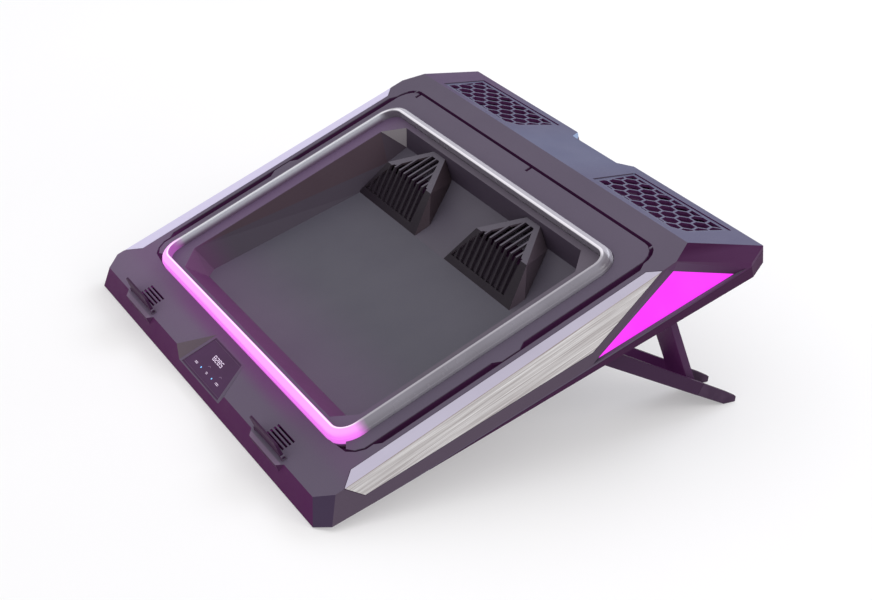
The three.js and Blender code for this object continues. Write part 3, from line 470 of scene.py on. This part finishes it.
def strut_material():
    """The leg's strut, its front in painted shade, with a painted glow for light back from the floor."""
    g = Graph("strut_plastic")
    shaded = g.ramp(g.along(STRUT_FRONT), 0.1, 0.7, smooth=True)
    faint_glow(g, shaded, 0.6)
    return grained(g, g.mix(shaded, srgb(76, 48, 79), srgb(66, 34, 66)), MATT, RELIEF, 0.08)


def tray_material():
    """The well's floor and walls: its walls in painted shade, its lip in painted light from the ring, its
    front wall tinted by that light as painted light, and a painted highlight on its chamfer.
    """
    g = Graph("tray_plastic")
    place = g.split(g.deck_coords())
    lean = g.along(DECK_UP)
    wall = g.fall(lean, 0.6, 0.93, smooth=True)
    left_wall_shade = g.product(wall, g.ramp(g.normal_x(), 0.8, 0.95))
    near_light = g.math("MAXIMUM", g.ramp(place["X"], -100.0, -155.0), g.ramp(place["Y"], 110.0, 50.0))
    lip = g.ramp(place["Z"], *WELL_LIP_Z, smooth=True)
    lip_light = g.mix(near_light, srgb(98, 90, 103), srgb(106, 86, 115))
    # Painted highlight on the chamfer, painted pink light from the ring on the front wall.
    chamfer = g.product(g.ramp(g.along(WELL_CHAMFER), 0.93, 0.98, smooth=True), wall, 0.95)
    front_wall_ring_light = g.product(g.fall(place["Y"], 45.0, 95.0, smooth=True), wall, 0.75)
    # Painted pink light from the ring towards the front, tilted faces kept grey, painted shade on the walls
    # and more on the left wall, painted light on the lip and front wall, and a painted highlight on the
    # chamfer.
    color = g.layers(
        srgb(84, 82, 93),
        (g.ramp(place["Y"], 130.0, 48.0, smooth=True), srgb(97, 82, 105)),
        (g.fall(lean, 0.985, 0.994, smooth=True), srgb(86, 81, 93)),
        (wall, srgb(62, 53, 67)),
        (left_wall_shade, srgb(76, 52, 60)),
        (lip, lip_light),
        (chamfer, srgb(160, 154, 158)),
        (front_wall_ring_light, srgb(108, 40, 104)),
    )
    return grained(g, color, (0.42, 0.56), 0.08, 0.22)


# ---- other materials ----
# Heights and places in deck millimetres, each edge the pair of values that its mask fades over.
TRIM_SIDE_Z, TRIM_CREASE_Z = (-0.35, -0.15), (-0.75, -0.5)
RING_LIT_Y = (49.0, 61.0)  # where the pink front turns to the grey rest
RING_CORNER_X = (150.0, 153.0)
RING_CREST_Z, RING_TOP_Z = (6.35, 6.72), (6.64, 6.78)
RING_REAR_INNER_Y = (255.0, 260.0), (266.6, 267.0)
RING_LEFT_INNER_X = (-166.4, -165.2), (-158.0, -150.0)


def brushed_material():
    """Satin lavender top facet, lighter on the left as painted light, a fine dark crease of painted shade,
    and a streaked silver side facet.
    """
    g = Graph("silver_trim")
    vector = g.deck_coords()
    place = g.split(vector)
    side = g.fall(place["Z"], *TRIM_SIDE_Z)
    # Painted shade along the fold between the top and side facets.
    crease = g.product(g.ramp(place["Z"], *TRIM_CREASE_Z), side, 0.75)
    streak = g.noise(1.0, 5, stretch=(0.02, 0.012, 1.5), source=vector, rough=0.6)
    fine = g.noise(1.0, 3, stretch=(0.05, 0.03, 6.0), source=vector, rough=0.6)
    silver = g.mix(g.ramp(streak, 0.36, 0.66), srgb(158, 152, 152), srgb(226, 225, 225))
    silver = g.mix(g.ramp(fine, 0.35, 0.7, 0.0, 0.4), silver, srgb(142, 134, 132))
    color = g.layers(
        g.mix(g.level(g.noise(14, 2)), srgb(184, 178, 196), srgb(194, 189, 208)),
        # Painted light: the left trim's top facet lighter.
        (g.ramp(place["X"], 0.0, -20.0), srgb(214, 208, 236)),
        (side, silver),
        (crease, srgb(120, 96, 84)),
    )
    g.bump(g.product(fine, side), 0.25, 0.0003)
    return g.surface(color, g.level(streak, 0.34, 0.5), Metallic=0.15, Specular_IOR_Level=0.45)


def ring_material():
    """Milky diffuser: lit pink along the front, grey round the rest, painted highlights on its crest and
    rear slope, and painted light and shade on its inner walls.
    """
    g = Graph("ring_diffuser")
    vector = g.deck_coords()
    place = g.split(vector)
    ragged = g.math("ADD", place["Y"], g.ramp(g.noise(0.12, 2, source=vector), 0.0, 1.0, -3.0, 3.0))
    lit = g.fall(ragged, *RING_LIT_Y, smooth=True)

    at_corner = g.ramp(g.magnitude(place["X"]), *RING_CORNER_X)
    sideways = g.product(g.normal_x(), g.math("SIGN", place["X"], 0), at_corner)
    inward = g.math("SUBTRACT", g.along(DECK_REAR), sideways)
    # The pink glow, brighter up its outer slope, with a painted highlight on its crest, and dimmer on faces
    # turned inward.
    pink = g.layers(
        srgb(244, 126, 246),
        (g.ramp(place["Z"], 2.2, 6.2, smooth=True), srgb(252, 168, 252)),
        (g.ramp(place["Z"], *RING_TOP_Z, smooth=True), srgb(255, 242, 255)),
        (g.ramp(inward, 0.55, 0.9, smooth=True), srgb(150, 84, 154)),
    )

    # Painted highlights on the rear slope and crest, painted shade on the rear inner wall, painted light
    # rising up the left inner wall.
    rear_slope_light = g.product(g.ramp(place["Y"], 267.2, 268.6, smooth=True),
                           g.ramp(place["Z"], 2.4, 5.4, 0.35, 1.0, True))
    far_side = g.math("MAXIMUM", g.ramp(place["Y"], 262.0, 266.5), g.ramp(place["X"], -158.0, -164.0))
    shine = g.product(g.ramp(place["Z"], *RING_CREST_Z, smooth=True), g.math("MAXIMUM", far_side, 0.3))
    rear_inner_shade = g.product(g.band(place["Y"], *RING_REAR_INNER_Y), g.fall(place["Z"], 5.6, 6.5))
    left_inner = g.product(g.band(place["X"], *RING_LEFT_INNER_X), g.fall(place["Y"], 252.0, 258.0))
    left_inner_lighting = g.mix(g.ramp(place["Z"], 0.6, 5.4, smooth=True), srgb(106, 88, 110), srgb(204, 207, 214))
    grey = g.layers(
        g.mix(g.level(g.noise(18, 3)), srgb(120, 117, 126), srgb(134, 131, 141)),
        (rear_slope_light, srgb(172, 169, 180)),
        (shine, srgb(236, 233, 240)),
        (rear_inner_shade, srgb(104, 98, 108)),
        (left_inner, left_inner_lighting),
    )
    g.bump(g.noise(1800, 2), 0.05, 0.0002)
    g.emit(pink, g.product(lit, 0.92))
    return g.surface(g.mix(lit, grey, srgb(120, 40, 120)), g.level(g.noise(40, 3), 0.2, 0.32),
                     Specular_IOR_Level=0.45, Coat_Weight=0.25, Coat_Roughness=0.15)


def lens_material():
    """Evenly lit magenta, faintly mottled."""
    g = Graph("lit_lens")
    mottle = g.ramp(g.noise(22, 2), 0.35, 0.65)
    light = g.mix(mottle, srgb(253, 50, 252), srgb(255, 64, 255))
    light = g.mix(g.ramp(g.split(g.deck_coords())["Y"], 200.0, 350.0), light, srgb(255, 56, 254))
    g.bump(g.noise(900, 2), 0.04, 0.0002)
    g.emit(light, 0.9)
    return g.surface(g.mix(mottle, srgb(130, 20, 130), srgb(150, 26, 150)),
                     g.ramp(mottle, 0.0, 1.0, 0.3, 0.4), Specular_IOR_Level=0.2)


def glass_panel_material():
    """Dark purple glass with a slight haze."""
    g = Graph("touch_panel")
    haze = g.noise(30, 3)
    g.bump(g.noise(400, 2), 0.02, 0.0002)
    return g.surface(g.mix(g.level(haze), srgb(76, 42, 82), srgb(68, 37, 73)), g.level(haze, 0.16, 0.26),
                     Specular_IOR_Level=0.1, Coat_Weight=0.08, Coat_Roughness=0.1)


def lamp_material(name, color, strength):
    """A printed mark lit from behind, a little brighter in places."""
    g = Graph(name)
    brighter = tuple(min(1, channel * 1.15) for channel in color[:3]) + (1,)
    glow = g.mix(g.level(g.noise(600, 2)), color, brighter)
    g.emit(glow, strength)
    return g.surface(glow, g.level(g.noise(500, 2), 0.3, 0.45))


def rubber_material():
    """Rough dark rubber, dusty in places."""
    g = Graph("rubber_feet")
    dust = g.noise(60, 5)
    g.bump(g.noise(2400, 3), 0.35, 0.0003)
    return g.surface(g.mix(g.ramp(dust, 0.45, 0.75), srgb(62, 44, 65), srgb(78, 60, 81)),
                     g.level(dust, 0.7, 0.85), Specular_IOR_Level=0.15)


def steel_material():
    """Bright plating with fine streaks."""
    g = Graph("plated_steel")
    streak = g.noise(500, 3, stretch=(1, 1, 0.1))
    g.bump(streak, 0.06, 0.0001)
    return g.surface(g.mix(g.level(streak), srgb(170, 168, 172), srgb(205, 204, 208)),
                     g.level(streak, 0.22, 0.36), Metallic=1.0)


def board_material():
    """Green board with square-cornered traces."""
    g = Graph("circuit_board")
    traces = g.add("ShaderNodeTexVoronoi", feature="DISTANCE_TO_EDGE", distance="MANHATTAN")
    traces.inputs["Scale"].default_value = 260
    g.feed(g.coords, traces.inputs["Vector"])
    line = g.fall(traces.outputs["Distance"], 0.03, 0.06)
    g.bump(line, 0.2, 0.0001)
    return g.surface(g.mix(line, srgb(24, 74, 52), srgb(60, 122, 84)),
                     g.level(g.noise(60, 3), 0.35, 0.5))


def winding_material():
    """Copper wire wound round the motor's axis."""
    g = Graph("motor_windings")
    wave = g.add("ShaderNodeTexWave", wave_type="RINGS", rings_direction="Z")
    wave.inputs["Scale"].default_value = 700
    g.feed(g.coords, wave.inputs["Vector"])
    turns = wave.outputs["Fac"]
    g.bump(turns, 0.4, 0.0003)
    return g.surface(g.mix(turns, srgb(120, 70, 40), srgb(196, 128, 78)),
                     g.level(g.noise(200, 3), 0.3, 0.45), Metallic=0.8)


def paper_material():
    """The studio's white floor, lifted a little by its own light."""
    g = Graph("floor_paper")
    paper = g.mix(g.level(g.noise(3, 2)), (0.612, 0.612, 0.612, 1), (0.62, 0.62, 0.62, 1))
    g.emit(paper, 0.55)
    return g.surface(paper, g.level(g.noise(8, 2), 0.8, 0.9), Specular_IOR_Level=0.1)


SHELL = shell_material()
GRILLE = grille_material()
DARK = inner_material("dark_plastic", srgb(50, 36, 53), srgb(50, 32, 52))
COVER = inner_material("cover_plastic", srgb(60, 34, 61), srgb(62, 28, 61))
LEG = arm_material()
STRUT = strut_material()
STOPPER = moulded("stopper_plastic", srgb(64, 38, 66), srgb(62, 32, 63), specular=0.08)
BORDER = moulded("border_plastic", srgb(86, 58, 90), srgb(70, 44, 72))
LOUVRE = louvre_material()
BLADE = moulded("blower_plastic", srgb(48, 36, 52), srgb(44, 30, 48), rough=(0.3, 0.42))
TRAY = tray_material()
TRIM = brushed_material()
RING = ring_material()
LENS = lens_material()
GLASS = glass_panel_material()
RUBBER = rubber_material()
STEEL = steel_material()
BOARD = board_material()
WINDING = winding_material()
WHITE_MARK = lamp_material("mark_white", srgb(206, 190, 212), 0.55)
ARC_MARK = lamp_material("mark_arc", srgb(120, 96, 126), 0.3)
BLUE_MARK = lamp_material("mark_blue", srgb(120, 190, 255), 0.9)

LOOKS = {
    "upper_shell": SHELL, "top_plate": SHELL, "bottom_cover": COVER, "well_tray": TRAY,
    "light_ring": RING, "ring_led_strip": BOARD, "control_panel": GLASS, "control_board": BOARD,
    "io_board": BOARD, "usb_port_right": STEEL, "usb_port_middle": STEEL, "dc_jack": DARK,
}
for number in range(1, 5):
    LOOKS[f"cover_screw_{number}"] = STEEL
for tag in SIDES:
    LOOKS.update({
        f"side_trim_{tag}": TRIM, f"window_lens_{tag}": LENS, f"window_led_board_{tag}": BOARD,
        f"intake_grille_{tag}": GRILLE, f"outlet_louvre_{tag}": LOUVRE, f"front_foot_{tag}": RUBBER,
        f"blower_housing_{tag}": DARK, f"blower_motor_{tag}": WINDING, f"impeller_{tag}": BLADE,
        f"stopper_{tag}": STOPPER, f"stopper_pin_{tag}": STOPPER, f"leg_arm_{tag}": LEG,
        f"leg_foot_{tag}": RUBBER, f"arm_pin_{tag}": STEEL, f"leg_strut_{tag}": STRUT,
        f"strut_pin_{tag}": STEEL,
    })
for name, look in LOOKS.items():
    mesh = nodes[name].data
    mesh.materials.clear()
    mesh.materials.append(look)


# ---- new pieces ----
CREASE_ANGLE = math.radians(40)  # a smooth piece stays sharp where its faces turn more than this


def add_mesh(name, verts, faces, material, body, smooth=False):
    """A new piece that rides on a body, from its vertices and faces."""
    mesh = bpy.data.meshes.new(name)
    mesh.from_pydata([tuple(p) for p in verts], [], faces)
    mesh.update()
    bm = bmesh.new()
    bm.from_mesh(mesh)
    bmesh.ops.recalc_face_normals(bm, faces=bm.faces)
    bm.to_mesh(mesh)
    bm.free()
    mesh.materials.append(material)
    for polygon in mesh.polygons:
        polygon.use_smooth = smooth
    if smooth:
        mesh.set_sharp_from_angle(angle=CREASE_ANGLE)
    piece = bpy.data.objects.new(name, mesh)
    scene.collection.objects.link(piece)
    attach(piece, body)
    return piece


# ---- light ring ----
RING_HALF, RING_FRONT, RING_REAR, RING_RADIUS = 172.15, 34.25, 274.3, 20.0
CORNER_STEPS = 10
# The ring's section, a closed loop: how far in from its outline, and the height over the deck.
RING_SECTION = [
    (0.0, -2.2), (0.0, 1.72), (0.1, 1.9), (0.36, 1.98), (0.52, 2.25), (0.85, 3.5), (1.32, 4.5), (1.95, 5.2),
    (2.7, 5.65), (3.7, 6.05), (4.8, 6.36), (5.6, 6.66), (6.1, 6.78), (6.55, 6.8), (7.0, 6.74), (7.35, 6.55),
    (7.55, 6.25), (7.6, 5.9), (7.6, -2.2),
]


def ring_path(inset):
    """The ring's outline moved in by inset, the same number of points at every inset."""
    half, front, rear = RING_HALF - inset, RING_FRONT + inset, RING_REAR - inset
    radius = RING_RADIUS - inset
    centres = [
        (half - radius, rear - radius, 0), (-half + radius, rear - radius, 90),
        (-half + radius, front + radius, 180), (half - radius, front + radius, 270),
    ]
    points = []
    for cx, cy, start in centres:
        for step in range(CORNER_STEPS + 1):
            angle = math.radians(start + 90 * step / CORNER_STEPS)
            points.append((cx + radius * math.cos(angle), cy + radius * math.sin(angle)))
    return points


def build_ring():
    """The diffuser: the section carried round the ring's outline."""
    verts, faces = [], []
    for inset, height in RING_SECTION:
        verts += [deck(x, y, height) for x, y in ring_path(inset)]
    rows = len(RING_SECTION)
    count = len(verts) // rows
    for row in range(rows):
        for i in range(count):
            j = (i + 1) % count
            a, b = row * count, ((row + 1) % rows) * count
            faces.append((a + i, a + j, b + j, b + i))
    piece = add_mesh("ring_diffuser", verts, faces, RING, "pad", smooth=True)
    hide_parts("light_ring")


build_ring()

# ---- touch panel ----
PANEL_TOP, PANEL_FOOT = (27.0, 27.0, 0.0), (38.7, -5.9, -8.0)  # half width, deck Y and Z of its edges
top_mid = Vector((0, PANEL_TOP[1], PANEL_TOP[2]))
foot_mid = Vector((0, PANEL_FOOT[1], PANEL_FOOT[2]))
panel_down = (foot_mid - top_mid).normalized()
panel_out = Vector((1, 0, 0)).cross(-panel_down).normalized()
PANEL_LENGTH = (foot_mid - top_mid).length


def on_panel(x, depth, height):
    """A point on the panel: x across, depth down from its top edge, height off it, in millimetres."""
    p = top_mid + panel_down * depth + panel_out * height
    return deck(x, p.y, p.z)


def panel_half(depth):
    """Half the panel's width at a depth down from its top edge."""
    return PANEL_TOP[0] + (PANEL_FOOT[0] - PANEL_TOP[0]) * depth / PANEL_LENGTH


def slab(outline, low, high):
    """Vertices and faces of a flat slab on the panel, from x and depth of its corners."""
    count = len(outline)
    verts = [on_panel(x, d, low) for x, d in outline] + [on_panel(x, d, high) for x, d in outline]
    faces = [tuple(range(count)), tuple(range(count, 2 * count))]
    faces += [(i, (i + 1) % count, count + (i + 1) % count, count + i) for i in range(count)]
    return verts, faces


def trapezoid(inset):
    """Corners of the panel's outline moved in."""
    top, foot = inset, PANEL_LENGTH - inset
    return [(-panel_half(top) + inset, top), (panel_half(top) - inset, top),
            (panel_half(foot) - inset, foot), (-panel_half(foot) + inset, foot)]


def border(outer_inset, inner_inset, low, high):
    """Vertices and faces of a closed strip between two insets of the panel's outline."""
    outer, inner = trapezoid(outer_inset), trapezoid(inner_inset)
    verts = []
    for height in (low, high):
        verts += [on_panel(x, d, height) for x, d in outer + inner]
    faces = []
    for i in range(4):
        j = (i + 1) % 4
        faces += [(i, j, 4 + j, 4 + i), (8 + i, 8 + j, 12 + j, 12 + i),
                  (i, j, 8 + j, 8 + i), (4 + i, 4 + j, 12 + j, 12 + i)]
    return verts, faces


def add_on_panel(name, parts, material):
    """One piece from several slabs or strips."""
    verts, faces = [], []
    for part_verts, part_faces in parts:
        start = len(verts)
        verts += part_verts
        faces += [tuple(start + index for index in face) for face in part_faces]
    return add_mesh(name, verts, faces, material, "pad")


glass = add_on_panel("panel_glass", [slab(trapezoid(2.1), low=-1.35, high=-0.35)], GLASS)
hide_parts("control_panel")
add_on_panel("panel_border", [
    border(outer_inset=0.75, inner_inset=1.95, low=-1.3, high=-0.12),
    border(outer_inset=3.3, inner_inset=3.7, low=-0.5, high=-0.24),
], BORDER)

# ---- marks on the panel, x across and depth down it ----
MARK_LOW, MARK_HIGH = -0.36, -0.27  # heights off the panel
DIGITS = (8, 2, 8, 5)
DIGIT_LEFT, DIGIT_TOP, DIGIT_PITCH = -8.3, 10.6, 4.3
DIGIT_WIDTH, DIGIT_HEIGHT = 3.2, 4.2
DIGIT_SEGMENTS = {8: "abcdefg", 2: "abged", 5: "afgcd"}
# Each segment's left, top, right and bottom, as parts of the digit's width and height.
SEGMENT_BOXES = {
    "a": (0.05, 0.0, 0.95, 0.11), "g": (0.05, 0.45, 0.95, 0.56), "d": (0.05, 0.89, 0.95, 1.0),
    "f": (0.0, 0.02, 0.17, 0.49), "b": (0.83, 0.02, 1.0, 0.49),
    "e": (0.0, 0.51, 0.17, 0.98), "c": (0.83, 0.51, 1.0, 0.98),
}
CAPTIONS = ((-20.0, 4.4), (-0.2, 2.6), (19.2, 4.8))  # middle and width of each pair of plain lines
CAPTION_TOP, LINE_PITCH, LINE_HEIGHT = 24.0, 1.0, 0.36
ARC_CENTRES = ((-3.0, 21.4), (17.0, 20.8))
ARC_RADIUS, ARC_WIDTH, ARC_START, ARC_END, ARC_STEPS = 2.1, 0.3, 200, 320, 8
LAMP_CENTRES = ((-10.8, 24.7), (9.5, 24.7))
LAMP_RADIUS, LAMP_SIDES = 0.65, 12


def mark(outline):
    return slab(outline, MARK_LOW, MARK_HIGH)


def bar(x0, d0, x1, d1):
    return mark([(x0, d0), (x1, d0), (x1, d1), (x0, d1)])


def digit(value, x, depth):
    """The bars of a seven-segment digit."""
    bars = []
    for segment in DIGIT_SEGMENTS[value]:
        x0, d0, x1, d1 = SEGMENT_BOXES[segment]
        bars.append(bar(x + x0 * DIGIT_WIDTH, depth + d0 * DIGIT_HEIGHT,
                        x + x1 * DIGIT_WIDTH, depth + d1 * DIGIT_HEIGHT))
    return bars


def on_circle(centre, radius, angle):
    return centre[0] + radius * math.cos(angle), centre[1] + radius * math.sin(angle)


def lamp_dot(centre):
    return mark([on_circle(centre, LAMP_RADIUS, math.tau * k / LAMP_SIDES) for k in range(LAMP_SIDES)])


def arc(centre):
    sweep = ARC_END - ARC_START
    angles = [math.radians(ARC_START + sweep * k / ARC_STEPS) for k in range(ARC_STEPS + 1)]
    outer = [on_circle(centre, ARC_RADIUS, angle) for angle in angles]
    inner = [on_circle(centre, ARC_RADIUS - ARC_WIDTH, angle) for angle in reversed(angles)]
    return mark(outer + inner)


white_marks = []
for index, value in enumerate(DIGITS):
    white_marks += digit(value, DIGIT_LEFT + index * DIGIT_PITCH, DIGIT_TOP)
for x, width in CAPTIONS:
    for row in range(2):
        line_top = CAPTION_TOP + row * LINE_PITCH
        white_marks.append(bar(x - width / 2, line_top, x + width / 2, line_top + LINE_HEIGHT))
add_on_panel("panel_marks", white_marks, WHITE_MARK)
add_on_panel("panel_arcs", [arc(centre) for centre in ARC_CENTRES], ARC_MARK)
add_on_panel("panel_lamps", [lamp_dot(centre) for centre in LAMP_CENTRES], BLUE_MARK)

# ---- edges of the carried nodes ----
WELD_DISTANCE = 0.00001
FLAT_ANGLE = math.radians(0.6)
EDGE_ANGLE = math.radians(25)
EDGE_SEGMENTS = 2
EDGE_WIDTHS = {"upper_shell": 0.45, "top_plate": 0.3, "bottom_cover": 0.4, "well_tray": 0.4}
PAIRED_EDGE_WIDTHS = {
    "side_trim": 0.25, "stopper": 0.2, "leg_arm": 0.35, "leg_strut": 0.35, "leg_foot": 0.5,
    "outlet_louvre": 0.2, "intake_grille": 0.15,
}
for tag in SIDES:
    for name, width in PAIRED_EDGE_WIDTHS.items():
        EDGE_WIDTHS[f"{name}_{tag}"] = width


def soften(name, width):
    """Rounds a carried node's edges with modifiers, its mesh untouched."""
    node = nodes[name]
    weld = node.modifiers.new("weld", "WELD")
    weld.merge_threshold = WELD_DISTANCE
    flat = node.modifiers.new("flat", "DECIMATE")
    flat.decimate_type = "DISSOLVE"
    flat.angle_limit = FLAT_ANGLE
    bevel = node.modifiers.new("edges", "BEVEL")
    bevel.width = width * MM
    bevel.segments = EDGE_SEGMENTS
    bevel.limit_method = "ANGLE"
    bevel.angle_limit = EDGE_ANGLE
    bevel.use_clamp_overlap = True
    bevel.harden_normals = False
    shade = node.modifiers.new("normals", "WEIGHTED_NORMAL")
    shade.keep_sharp = True


for name, width in EDGE_WIDTHS.items():
    soften(name, width)

# ---- floor ----
FLOOR_HALF = 6.0
floor_mesh = bpy.data.meshes.new("floor")
floor_mesh.from_pydata(
    [(-FLOOR_HALF, -FLOOR_HALF, 0), (FLOOR_HALF, -FLOOR_HALF, 0), (FLOOR_HALF, FLOOR_HALF, 0),
     (-FLOOR_HALF, FLOOR_HALF, 0)], [], [(0, 1, 2, 3)])
floor_mesh.materials.append(paper_material())
floor = bpy.data.objects.new("floor", floor_mesh)
scene.collection.objects.link(floor)
